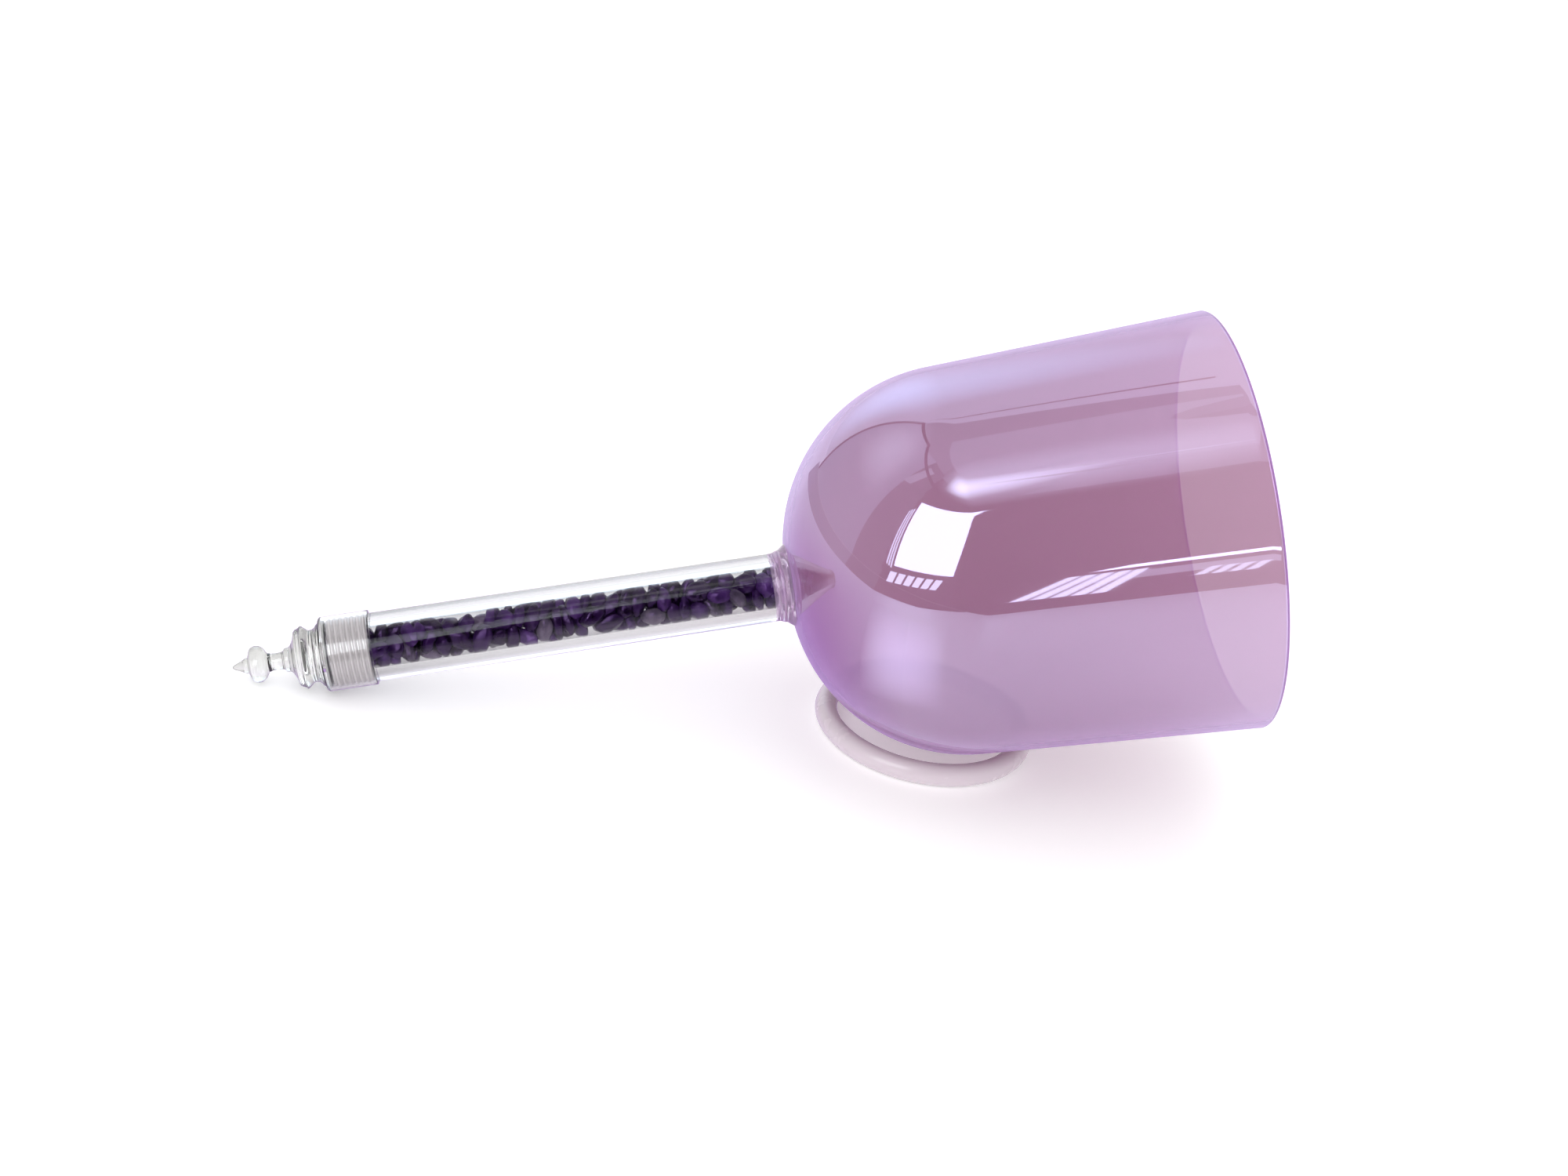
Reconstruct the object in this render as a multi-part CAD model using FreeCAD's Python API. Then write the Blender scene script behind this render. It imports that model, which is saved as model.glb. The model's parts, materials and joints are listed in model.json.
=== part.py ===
import FreeCAD, Part
import math
import os
import random

# A hand-held singing bowl of tinted quartz. It lies on its side: the bowl rests in a soft
# ring, its mouth points up the +X side, and its handle runs down to the floor on the -X side.
# The handle is a thick clear tube, closed by a screw cap with a turned finial, and full of
# loose amethyst chips. Millimetres, +Z up, and the floor is at Z = 0.
#
# Turned pieces are drawn as (s, r) outlines: s runs along the bowl's axis, from 0 at the
# outside of its base towards the mouth, and r is the distance from that axis.

# ---------------------------------------------------------------- driving dimensions
MOUTH_RADIUS = 89.0        # a bowl of nominal 7 inches across the mouth
BOWL_LENGTH = 190.0        # outside of the base to the rim
WALL = 3.5                 # blown wall of the bowl
WALL_FLARE = 3.4           # degrees by which the wall opens towards the mouth
BASE_RADIUS = 120.0        # spherical base
KNUCKLE_RADIUS = 74.5      # round corner between the base and the wall
RIM_ROUND = 1.0            # polished edges of the rim

TUBE_RADIUS = 14.25        # grip tube, outside
BORE_RADIUS = 8.8          # chip bore of the tube
BORE_END = -2.2            # closed end of the bore, just short of the bowl
BORE_END_ROUND = 2.0
FOOT_LENGTH = 6.5          # flared weld between the tube and the bowl
FOOT_RADIUS = 17.4         # where the flare meets the bowl
SPIGOT_RADIUS = 8.0        # the foot's plug, through the base of the bowl
CONE_END = 17.5            # tip of the foot's cone, inside the bowl
CONE_TIP_RADIUS = 2.4

COLLAR_OUT = -194.0        # closed end of the screw collar
COLLAR_IN = -173.0         # open end of the screw collar
COLLAR_RADIUS = 15.55
COLLAR_BORE = 14.55
COLLAR_END_WALL = 1.5
COLLAR_ROUND = 1.6
FINIAL_SPIGOT_RADIUS = 5.0

THREAD_PITCH = 2.35
THREAD_TURNS = 7
THREAD_ROOT = 13.5
THREAD_CREST = 14.25
NECK_RADIUS = 12.9         # the tube's end, turned down inside the threaded sleeve
NECK_STEP = -174.0         # where the tube is turned down
SEAL_THICKNESS = 0.9
SEAL_RADIUS = 14.0
SEAL_HOLE = 6.2

FINIAL_LENGTH = 37.0       # tip to the collar's closed end

RING_RADIUS = 42.5         # centre line of the support ring
RING_SECTION = 4.8
RING_FOOT_CUT = 0.15       # how far the ring's section is flattened where it rests
RING_FROM_BASE = 71.2      # the ring's centre, measured along X from the bowl's base

AXIS_TILT = 15.15          # degrees by which the bowl's axis rises towards the mouth
BOND_GAP = 0.03            # film between pieces that are bonded or fused
RUN_GAP = 0.05             # play between flat faces that turn or lift away
FLOOR_GAP = 0.05           # the collar's edge just clears the floor

CHIP_HALF_LENGTHS = (3.9, 6.0)     # shortest and longest of each half axis of a chip
CHIP_HALF_WIDTHS = (2.9, 4.0)
CHIP_HALF_THICKNESSES = (2.0, 3.1)
CHIP_TAPER = 0.065         # strongest taper of a chip, per millimetre of its length
CHIP_GAP = 0.06            # least gap from chip to chip, and from chip to glass
CHIP_TRIES = 60            # ways in which each chip is offered before it settles
CHIP_SEED = 11
STATIONS = 16              # lengths of the bore that the chips are grouped by
GRADES = ("deep", "violet", "deep", "violet", "pale", "deep", "deep", "violet", "deep", "pale")

# ---------------------------------------------------------------- placing in the row frame
TILT = math.radians(AXIS_TILT)
FLARE = math.radians(WALL_FLARE)
FINIAL_TIP = COLLAR_OUT - FINIAL_LENGTH
TIP_ROUND = 0.7

# The collar's closed corner is the low point of the handle, and sets the base's height.
LOW_S = COLLAR_OUT + COLLAR_ROUND
LOW_R = COLLAR_RADIUS - COLLAR_ROUND
BASE_HEIGHT = FLOOR_GAP + COLLAR_ROUND + LOW_R * math.cos(TILT) - LOW_S * math.sin(TILT)

# X = 0 is the middle of the whole length, from the finial's tip to the rim's lowest point.
FINIAL_X = (FINIAL_TIP + TIP_ROUND) * math.cos(TILT) - TIP_ROUND
RIM_X = ((BOWL_LENGTH - RIM_ROUND) * math.cos(TILT)
         + (MOUTH_RADIUS - RIM_ROUND) * math.sin(TILT) + RIM_ROUND)
BASE_X = -(FINIAL_X + RIM_X) / 2


def place(shape):
    """Moves a piece from the bowl's own axis to where it lies."""
    shape.rotate(FreeCAD.Vector(0, 0, 0), FreeCAD.Vector(0, 1, 0), -AXIS_TILT)
    shape.translate(FreeCAD.Vector(BASE_X, 0, BASE_HEIGHT))
    return shape


def save(name, shape):
    """Writes one node, after making sure that it is sound."""
    if not shape.isValid():
        raise ValueError(name + " is not a valid shape")
    shape.exportStep("parts/" + name + ".step")


# ---------------------------------------------------------------- outlines
def point(s, r):
    return FreeCAD.Vector(s, 0, r)


def arc_about(centre, radius, start, end):
    """The three points of an arc: start, middle, end. Angles in radians from +s to +r."""
    middle = (start + end) / 2
    return [(centre[0] + radius * math.cos(a), centre[1] + radius * math.sin(a))
            for a in (start, middle, end)]


def turned(outline):
    """A solid of revolution about the axis. An outline is a list of runs: two points are a
    straight line and three are an arc. Where one run ends the next begins, or a straight
    line joins them, and the last joins the first."""
    edges = []
    pen = outline[-1][-1]
    for run in outline:
        if math.dist(pen, run[0]) > 1e-6:
            edges.append(Part.LineSegment(point(*pen), point(*run[0])).toShape())
        if len(run) == 2:
            edges.append(Part.LineSegment(point(*run[0]), point(*run[1])).toShape())
        if len(run) == 3:
            edges.append(Part.Arc(*[point(*p) for p in run]).toShape())
        pen = run[-1]
    face = Part.Face(Part.Wire(edges))
    solid = face.revolve(FreeCAD.Vector(0, 0, 0), FreeCAD.Vector(1, 0, 0), 360)
    return solid if solid.Volume > 0 else solid.reversed()


# ---------------------------------------------------------------- the bowl
# The knuckle's centre is one knuckle radius inside the wall, and tangent to the base.
SLOPE = math.tan(FLARE)
OFFSET_R = MOUTH_RADIUS - BOWL_LENGTH * SLOPE - KNUCKLE_RADIUS / math.cos(FLARE)
SQUARE = 1 + SLOPE ** 2
LINEAR = 2 * (OFFSET_R * SLOPE - BASE_RADIUS)
CONSTANT = BASE_RADIUS ** 2 + OFFSET_R ** 2 - (BASE_RADIUS - KNUCKLE_RADIUS) ** 2
KNUCKLE_S = (-LINEAR - math.sqrt(LINEAR ** 2 - 4 * SQUARE * CONSTANT)) / (2 * SQUARE)
KNUCKLE_R = OFFSET_R + KNUCKLE_S * SLOPE
BASE_TURN = math.pi - math.atan2(KNUCKLE_R, BASE_RADIUS - KNUCKLE_S)
WALL_TURN = math.pi / 2 + FLARE


def base_surface(r, depth):
    """Where the base lies at a radius, depth millimetres inside its outer face."""
    return BASE_RADIUS - math.sqrt((BASE_RADIUS - depth) ** 2 - r ** 2)


def wall_point(s, depth):
    """The wall at a place along the axis, depth millimetres inside its outer face."""
    return (s, MOUTH_RADIUS - (BOWL_LENGTH - s) * SLOPE - depth / math.cos(FLARE))


def bowl_side(depth):
    """The base and knuckle arcs of one face of the bowl, from the foot's hole outwards."""
    hole = SPIGOT_RADIUS + BOND_GAP
    start = math.pi - math.asin(hole / (BASE_RADIUS - depth))
    base = arc_about((BASE_RADIUS, 0), BASE_RADIUS - depth, start, BASE_TURN)
    knuckle = arc_about((KNUCKLE_S, KNUCKLE_R), KNUCKLE_RADIUS - depth, BASE_TURN, WALL_TURN)
    knuckle[0] = base[-1]
    return [base, knuckle]


def bowl_shell():
    outer = bowl_side(0)
    inner = [run[::-1] for run in bowl_side(WALL)[::-1]]
    outer_edge = wall_point(BOWL_LENGTH - RIM_ROUND, 0)
    inner_edge = wall_point(BOWL_LENGTH - RIM_ROUND, WALL)
    quarter = RIM_ROUND * math.sqrt(0.5)
    lip_s = BOWL_LENGTH - RIM_ROUND
    outer_round = [outer_edge,
                   (lip_s + quarter, outer_edge[1] - RIM_ROUND + quarter),
                   (BOWL_LENGTH, outer_edge[1] - RIM_ROUND)]
    inner_round = [(BOWL_LENGTH, inner_edge[1] + RIM_ROUND),
                   (lip_s + quarter, inner_edge[1] + RIM_ROUND - quarter),
                   inner_edge]
    return turned(outer + [outer_round, inner_round] + inner)


# ---------------------------------------------------------------- the handle
def handle_foot():
    """The fused joint: a flare outside, a plug through the base, and a cone inside."""
    tube_face = -FOOT_LENGTH
    seat_s = base_surface(FOOT_RADIUS, -BOND_GAP)
    seat_mid_r = (FOOT_RADIUS + SPIGOT_RADIUS) / 2
    corner = BORE_END_ROUND
    bend = corner * (1 - math.sqrt(0.5))
    flare_mid = (tube_face + 0.72 * (seat_s - tube_face),
                 TUBE_RADIUS + 0.28 * (FOOT_RADIUS - TUBE_RADIUS))
    cone_start = (WALL + 1.2, SPIGOT_RADIUS)
    cone_stop = (CONE_END - CONE_TIP_RADIUS, CONE_TIP_RADIUS)
    tip_bend = CONE_TIP_RADIUS * math.sqrt(0.5)
    return turned([
        [(BORE_END, 0), (BORE_END, BORE_RADIUS - corner)],
        [(BORE_END, BORE_RADIUS - corner), (BORE_END - bend, BORE_RADIUS - bend),
         (BORE_END - corner, BORE_RADIUS)],
        [(BORE_END - corner, BORE_RADIUS), (tube_face, BORE_RADIUS)],
        [(tube_face, BORE_RADIUS), (tube_face, TUBE_RADIUS)],
        [(tube_face, TUBE_RADIUS), flare_mid, (seat_s, FOOT_RADIUS)],
        [(seat_s, FOOT_RADIUS), (base_surface(seat_mid_r, -BOND_GAP), seat_mid_r),
         (base_surface(SPIGOT_RADIUS, -BOND_GAP), SPIGOT_RADIUS)],
        [(base_surface(SPIGOT_RADIUS, -BOND_GAP), SPIGOT_RADIUS), cone_start],
        [cone_start, cone_stop],
        [cone_stop, (cone_stop[0] + tip_bend, tip_bend), (CONE_END, 0)],
    ])


TUBE_OPEN_END = COLLAR_OUT + COLLAR_END_WALL + SEAL_THICKNESS + 2 * RUN_GAP


def handle_tube():
    edge = 0.5
    foot_face = -FOOT_LENGTH - BOND_GAP
    return turned([
        [(foot_face, BORE_RADIUS), (foot_face, TUBE_RADIUS)],
        [(foot_face, TUBE_RADIUS), (NECK_STEP, TUBE_RADIUS)],
        [(NECK_STEP, TUBE_RADIUS), (NECK_STEP, NECK_RADIUS)],
        [(NECK_STEP, NECK_RADIUS), (TUBE_OPEN_END + edge, NECK_RADIUS)],
        [(TUBE_OPEN_END, NECK_RADIUS - edge), (TUBE_OPEN_END, BORE_RADIUS + edge)],
        [(TUBE_OPEN_END + edge, BORE_RADIUS), (foot_face, BORE_RADIUS)],
    ])


def thread_sleeve():
    """The threaded sleeve on the tube's neck. Its thread is drawn as one rib per turn."""
    start = NECK_STEP - BOND_GAP
    bore = NECK_RADIUS + BOND_GAP
    end = start - THREAD_TURNS * THREAD_PITCH
    outline = [[(end, bore), (start, bore)], [(start, bore), (start, THREAD_ROOT)]]
    for turn in range(THREAD_TURNS):
        near = start - turn * THREAD_PITCH
        far = near - THREAD_PITCH
        flank = 0.22 * THREAD_PITCH
        outline.append([(near, THREAD_ROOT), (near - flank, THREAD_ROOT)])
        outline.append([(near - flank, THREAD_ROOT), ((near + far) / 2, THREAD_CREST),
                        (far + flank, THREAD_ROOT)])
        outline.append([(far + flank, THREAD_ROOT), (far, THREAD_ROOT)])
    outline.append([(end, THREAD_ROOT), (end, bore)])
    return turned(outline)


# ---------------------------------------------------------------- the cap
def screw_collar():
    """A cup over the threaded sleeve, with a hole for the finial in its closed end."""
    hole = FINIAL_SPIGOT_RADIUS + BOND_GAP
    inner_end = COLLAR_OUT + COLLAR_END_WALL
    bend = COLLAR_ROUND * (1 - math.sqrt(0.5))
    edge = 0.3
    return turned([
        [(COLLAR_OUT, hole), (COLLAR_OUT, COLLAR_RADIUS - COLLAR_ROUND)],
        [(COLLAR_OUT, COLLAR_RADIUS - COLLAR_ROUND),
         (COLLAR_OUT + bend, COLLAR_RADIUS - bend),
         (COLLAR_OUT + COLLAR_ROUND, COLLAR_RADIUS)],
        [(COLLAR_OUT + COLLAR_ROUND, COLLAR_RADIUS), (COLLAR_IN - edge, COLLAR_RADIUS)],
        [(COLLAR_IN, COLLAR_RADIUS - edge), (COLLAR_IN, COLLAR_BORE)],
        [(COLLAR_IN, COLLAR_BORE), (inner_end, COLLAR_BORE)],
        [(inner_end, COLLAR_BORE), (inner_end, hole)],
    ])


def cap_seal():
    start = COLLAR_OUT + COLLAR_END_WALL + RUN_GAP
    end = start + SEAL_THICKNESS
    return turned([[(start, SEAL_HOLE), (start, SEAL_RADIUS)],
                   [(end, SEAL_RADIUS), (end, SEAL_HOLE)]])


def finial():
    """Turned clear glass: a cone, a bead, a neck, a bell with a sharp disc, and a foot."""
    tip = FINIAL_TIP
    foot = COLLAR_OUT - BOND_GAP
    plug_end = COLLAR_OUT + COLLAR_END_WALL

    def at(u, r):
        return (tip + u, r)

    return turned([
        [(plug_end, 0), at(0, 0)],
        [at(0, 0), at(0.16, 0.46), at(TIP_ROUND, 0.8)],
        [at(TIP_ROUND, 0.8), at(5.7, 3.4)],
        [at(5.7, 3.4), at(6.2, 3.0), at(6.7, 3.9)],
        [at(6.7, 3.9), at(7.4, 6.4), at(9.4, 7.6)],
        [at(9.4, 7.6), at(11.3, 7.6)],
        [at(11.3, 7.6), at(13.6, 6.4), at(14.6, 3.8)],
        [at(14.6, 3.8), at(15.4, 3.9), at(16.2, 3.5)],
        [at(16.2, 3.5), at(20.2, 3.6)],
        [at(20.2, 3.6), at(21.4, 4.0), at(21.8, 4.8)],
        [at(21.8, 4.8), at(23.2, 5.0)],
        [at(23.2, 5.0), at(25.4, 7.4), at(26.6, 11.5)],
        [at(26.6, 11.5), at(27.6, 11.9)],
        [at(27.6, 11.9), at(29.4, 13.1)],
        [at(29.4, 13.1), at(31.6, 11.6)],
        [at(31.6, 11.6), at(33.4, 10.9), at(35.2, 11.8)],
        [at(35.2, 11.8), at(36.2, 13.0)],
        [at(36.2, 13.0), (foot, 13.4)],
        [(foot, 13.4), (foot, FINIAL_SPIGOT_RADIUS)],
        [(foot, FINIAL_SPIGOT_RADIUS), (plug_end, FINIAL_SPIGOT_RADIUS)],
        [(plug_end, FINIAL_SPIGOT_RADIUS), (plug_end, 0)],
    ])


# ---------------------------------------------------------------- the support ring
def support_ring():
    """A soft round-section ring, settled a little flat where it rests on the floor."""
    height = RING_SECTION - RING_FOOT_CUT
    half_foot = math.sqrt(RING_SECTION ** 2 - height ** 2)
    left = FreeCAD.Vector(RING_RADIUS - half_foot, 0, 0)
    right = FreeCAD.Vector(RING_RADIUS + half_foot, 0, 0)
    top = FreeCAD.Vector(RING_RADIUS, 0, height + RING_SECTION)
    section = Part.Wire([Part.LineSegment(left, right).toShape(),
                         Part.Arc(right, top, left).toShape()])
    ring = Part.Face(section).revolve(FreeCAD.Vector(0, 0, 0), FreeCAD.Vector(0, 0, 1), 360)
    ring.translate(FreeCAD.Vector(BASE_X + RING_FROM_BASE, 0, 0))
    return ring if ring.Volume > 0 else ring.reversed()


# ---------------------------------------------------------------- the amethyst chips
# A chip is an icosahedron that is stretched, tapered and turned, so it stays convex. The
# chips settle into the bore one after another, from its closed end. Each is offered in a few
# ways, and stays in the one that sinks deepest. Two chips are clear of each other when they
# are apart along any one of the probe directions.
GOLDEN = (1 + math.sqrt(5)) / 2
PROBES = 101


def icosahedron():
    corners = []
    for a in (-1, 1):
        for b in (-GOLDEN, GOLDEN):
            corners += [(0, a, b), (a, b, 0), (b, 0, a)]
    size = math.hypot(1, GOLDEN)
    corners = [tuple(c / size for c in corner) for corner in corners]
    edge = 2 / size + 1e-6
    faces = [(i, j, k) for i in range(12) for j in range(i + 1, 12) for k in range(j + 1, 12)
             if max(math.dist(corners[i], corners[j]), math.dist(corners[j], corners[k]),
                    math.dist(corners[i], corners[k])) < edge]
    return corners, faces


def probe_directions():
    """Directions spread evenly over the half sphere that faces the bore's open end."""
    turn = math.pi * (3 - math.sqrt(5))
    directions = []
    for i in range(PROBES):
        up = (i + 0.5) / PROBES
        flat = math.sqrt(1 - up * up)
        directions.append((up, flat * math.cos(i * turn), flat * math.sin(i * turn)))
    return directions


def turned_about(corner, axis, angle):
    """One point turned about one of the three axes."""
    x, y = corner[(axis + 1) % 3], corner[(axis + 2) % 3]
    spun = list(corner)
    spun[(axis + 1) % 3] = x * math.cos(angle) - y * math.sin(angle)
    spun[(axis + 2) % 3] = x * math.sin(angle) + y * math.cos(angle)
    return tuple(spun)


def chip_corners(ball, halves, taper, angles):
    corners = []
    for corner in ball:
        stretched = tuple(c * h for c, h in zip(corner, halves))
        scale = 1 / (1 + sum(t * c for t, c in zip(taper, stretched)))
        spun = tuple(c * scale for c in stretched)
        for axis, angle in enumerate(angles):
            spun = turned_about(spun, axis, angle)
        corners.append(spun)
    return corners


def reach(corners, offset):
    """How far from the bore's axis a chip reaches, when it is moved aside by offset."""
    return max(math.hypot(c[1] + offset[0], c[2] + offset[1]) for c in corners)


def beside_wall(corners, bearing, room):
    """The chip moved aside towards a bearing until it would touch the bore."""
    low, high = 0.0, room
    for _ in range(12):
        middle = (low + high) / 2
        offset = (middle * math.cos(bearing), middle * math.sin(bearing))
        if reach(corners, offset) < room:
            low = middle
        else:
            high = middle
    return low


def spans(corners, probes):
    result = []
    for probe in probes:
        along = [sum(p * c for p, c in zip(probe, corner)) for corner in corners]
        result.append((min(along), max(along)))
    return result


def clearing_rise(chip, other, probes):
    """How far the chip must rise along the bore before it clears the other chip."""
    best = math.inf
    for probe, (low, _), (_, high) in zip(probes, chip, other):
        best = min(best, (high + CHIP_GAP - low) / probe[0])
        if best <= 0:
            return 0.0
    return best


def settle_chips():
    """Lists the corners of each chip. The first coordinate is the depth of fill."""
    dice = random.Random(CHIP_SEED)
    ball, faces = icosahedron()
    probes = probe_directions()
    room = BORE_RADIUS - CHIP_GAP
    column = BORE_END - TUBE_OPEN_END - 0.4
    placed = []
    while True:
        halves = (dice.uniform(*CHIP_HALF_LENGTHS), dice.uniform(*CHIP_HALF_WIDTHS),
                  dice.uniform(*CHIP_HALF_THICKNESSES))
        taper = [dice.uniform(-CHIP_TAPER, CHIP_TAPER) for _ in range(3)]
        best = None
        for _ in range(CHIP_TRIES):
            angles = [dice.uniform(0, 2 * math.pi) for _ in range(3)]
            corners = chip_corners(ball, halves, taper, angles)
            bearing = dice.uniform(0, 2 * math.pi)
            aside = beside_wall(corners, bearing, room) * min(1, dice.uniform(0.7, 3.0))
            offset = (aside * math.cos(bearing), aside * math.sin(bearing))
            if reach(corners, offset) > room:
                continue
            lowest = min(c[0] for c in corners)
            corners = [(c[0] - lowest, c[1] + offset[0], c[2] + offset[1]) for c in corners]
            extent = spans(corners, probes)
            rounded = BORE_END_ROUND if reach(corners, (0, 0)) > room - BORE_END_ROUND else 0
            rise = max([rounded + CHIP_GAP]
                       + [clearing_rise(extent, other, probes) for _, other in placed[-30:]])
            middle = rise + max(c[0] for c in corners) / 2
            if best is None or middle < best[0]:
                best = (middle, rise, corners)
        if best is None:
            continue
        corners = [(c[0] + best[1], c[1], c[2]) for c in best[2]]
        if max(c[0] for c in corners) > column:
            return [chip for chip, _ in placed], faces
        placed.append((corners, spans(corners, probes)))


def chip_solid(corners, faces):
    vertices = [FreeCAD.Vector(BORE_END - c[0], c[1], c[2]) for c in corners]
    sides = [Part.Face(Part.makePolygon([vertices[i], vertices[j], vertices[k], vertices[i]]))
             for i, j, k in faces]
    solid = Part.Solid(Part.Shell(sides))
    return solid if solid.Volume > 0 else solid.reversed()


def chip_groups():
    """The chips by grade of colour and by station along the bore."""
    chips, faces = settle_chips()
    stretch = (BORE_END - TUBE_OPEN_END) / STATIONS
    groups = {}
    counts = [0] * STATIONS
    for corners in chips:
        middle = sum(c[0] for c in corners) / len(corners)
        station = min(int(middle / stretch), STATIONS - 1)
        grade = GRADES[counts[station] % len(GRADES)]
        counts[station] += 1
        name = "chips_%s_%02d" % (grade, station + 1)
        groups.setdefault(name, []).append(chip_solid(corners, faces))
    print("chips:", len(chips), "groups:", len(groups))
    return {name: Part.makeCompound(solids) for name, solids in groups.items()}


# ---------------------------------------------------------------- build
os.makedirs("parts", exist_ok=True)

save("support_ring", support_ring())
save("bowl_shell", place(bowl_shell()))
save("handle_foot", place(handle_foot()))
save("handle_tube", place(handle_tube()))
save("thread_sleeve", place(thread_sleeve()))
save("screw_collar", place(screw_collar()))
save("cap_seal", place(cap_seal()))
save("finial", place(finial()))
for group_name, group in sorted(chip_groups().items()):
    save(group_name, place(group))
print("base at x %.2f z %.2f, ring at x %.2f" % (BASE_X, BASE_HEIGHT, BASE_X + RING_FROM_BASE))
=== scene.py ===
import json
import math

import bmesh
import bpy
from mathutils import Matrix, Vector, noise


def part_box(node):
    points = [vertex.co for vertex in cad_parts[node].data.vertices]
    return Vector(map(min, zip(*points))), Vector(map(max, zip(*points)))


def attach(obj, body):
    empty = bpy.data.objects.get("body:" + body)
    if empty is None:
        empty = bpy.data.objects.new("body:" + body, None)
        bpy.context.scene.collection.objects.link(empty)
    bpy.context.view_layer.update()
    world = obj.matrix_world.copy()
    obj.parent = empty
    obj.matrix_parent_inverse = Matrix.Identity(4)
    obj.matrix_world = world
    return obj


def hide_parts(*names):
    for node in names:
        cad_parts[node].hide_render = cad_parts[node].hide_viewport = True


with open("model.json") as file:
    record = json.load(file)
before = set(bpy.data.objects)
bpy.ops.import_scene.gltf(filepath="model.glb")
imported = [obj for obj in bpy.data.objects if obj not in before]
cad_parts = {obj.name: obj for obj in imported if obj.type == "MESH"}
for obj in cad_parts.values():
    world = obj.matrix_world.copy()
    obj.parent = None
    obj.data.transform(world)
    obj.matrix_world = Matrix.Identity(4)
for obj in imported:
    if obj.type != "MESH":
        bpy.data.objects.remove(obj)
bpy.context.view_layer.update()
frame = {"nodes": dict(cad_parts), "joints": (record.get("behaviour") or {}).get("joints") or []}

# A handheld crystal singing bowl, as it lies in its silicone ring. Its own axis runs through
# the finial, the cap, the handle full of amethyst chips and the bowl, and rises to the mouth.
MM = 0.001

# ---------------------------------------------------------------- sizes, in millimetres
MOUTH_RADIUS = 89.0
BOWL_LENGTH = 190.0
WALL = 3.5
WALL_FLARE = math.radians(3.4)
BASE_RADIUS = 120.0
KNUCKLE_RADIUS = 74.5
RIM_ROUND = 1.0

TUBE_RADIUS = 14.25
BORE_RADIUS = 8.8
BORE_END = -2.2
BORE_END_ROUND = 2.0
FOOT_LENGTH = 6.5
FOOT_RADIUS = 17.4
SPIGOT_RADIUS = 8.0
CONE_END = 17.5
CONE_TIP_RADIUS = 2.4

COLLAR_OUT = -194.0
COLLAR_IN = -173.0
COLLAR_RADIUS = 15.55
COLLAR_BORE = 14.55
COLLAR_END_WALL = 1.5
COLLAR_ROUND = 1.6
FINIAL_SPIGOT_RADIUS = 5.0
FINIAL_LENGTH = 37.0

THREAD_PITCH = 2.35
THREAD_TURNS = 7
THREAD_ROOT = 13.5
THREAD_CREST = 14.2
THREAD_FADE = 1.0
THREAD_SHARPNESS = 1.4
NECK_RADIUS = 12.9
NECK_STEP = -174.0
TUBE_END = -191.5
BOND_GAP = 0.03
RING_FOOT_CUT = 0.15

SEAL_RADIUS = 14.0
SEAL_HOLE = 6.2
SEAL_BULGE = 0.25
SEAL_PLAY = 0.05

STONE_GROWTH = 1.32         # tumbled stones touch, where the solids keep clear of each other
STONE_PLAY = 0.1            # left between the stones and the bore

QUARTZ_IOR = 1.46
SLEEVE_IOR = 1.46
COATING_IOR = 2.4
COATING_ROUGHNESS = 0.03

# ---------------------------------------------------------------- the bowl's own axis
JOINTS = {joint["name"]: joint for joint in frame["joints"]}
AXIS = -Vector(JOINTS["cap_turn"]["axis"]).normalized()
BASE = Vector(JOINTS["cap_turn"]["pos_m"]) - AXIS * COLLAR_OUT * MM
SIDE = Vector((0, 1, 0))
RISE = AXIS.cross(SIDE).normalized()
if RISE.z < 0:
    RISE.negate()


def on_axis(s, r, angle):
    """A point of the row frame: s along the bowl's axis, r from it, both in millimetres."""
    return BASE + (AXIS * s + RISE * (r * math.cos(angle)) + SIDE * (r * math.sin(angle))) * MM


# ---------------------------------------------------------------- outlines
def arc_about(centre, radius, start, end, steps):
    """Points of an arc, with its angles measured from the bowl's axis."""
    return [(centre[0] + radius * math.cos(start + (end - start) * i / steps),
             centre[1] + radius * math.sin(start + (end - start) * i / steps))
            for i in range(steps + 1)]


def straight(start, end, steps):
    return [(start[0] + (end[0] - start[0]) * i / steps,
             start[1] + (end[1] - start[1]) * i / steps)
            for i in range(steps + 1)]


def flowing(points, steps):
    """A smooth curve through points: a Catmull-Rom spline that starts and ends on them."""
    padded = [points[0]] + list(points) + [points[-1]]
    curve = []
    for a, b, c, d in zip(padded, padded[1:], padded[2:], padded[3:]):
        for i in range(steps):
            t = i / steps
            curve.append(tuple(
                0.5 * (2 * q + (r - p) * t + (2 * p - 5 * q + 4 * r - s) * t * t
                       + (3 * q - p - 3 * r + s) * t ** 3)
                for p, q, r, s in zip(a, b, c, d)))
    return curve + [tuple(points[-1])]


# ---------------------------------------------------------------- meshes
def finish_mesh(name, mesh, materials, crease=math.radians(32)):
    """A piece from its mesh, smooth except across edges sharper than the crease angle."""
    for material in materials:
        mesh.materials.append(material)
    mesh.polygons.foreach_set("use_smooth", [True] * len(mesh.polygons))
    mesh.set_sharp_from_angle(angle=crease)
    piece = bpy.data.objects.new(name, mesh)
    bpy.context.scene.collection.objects.link(piece)
    return piece


def cleaned(bm):
    """Merges the points that meet on the axis, drops empty faces and turns all faces out."""
    bmesh.ops.remove_doubles(bm, verts=bm.verts, dist=2e-6)
    bmesh.ops.dissolve_degenerate(bm, edges=bm.edges, dist=1e-7)
    bmesh.ops.recalc_face_normals(bm, faces=bm.faces)
    return bm


def one_material(*outlines):
    """Runs for a turned piece that is all of one material."""
    return [(points, 0) for points in outlines]


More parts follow.
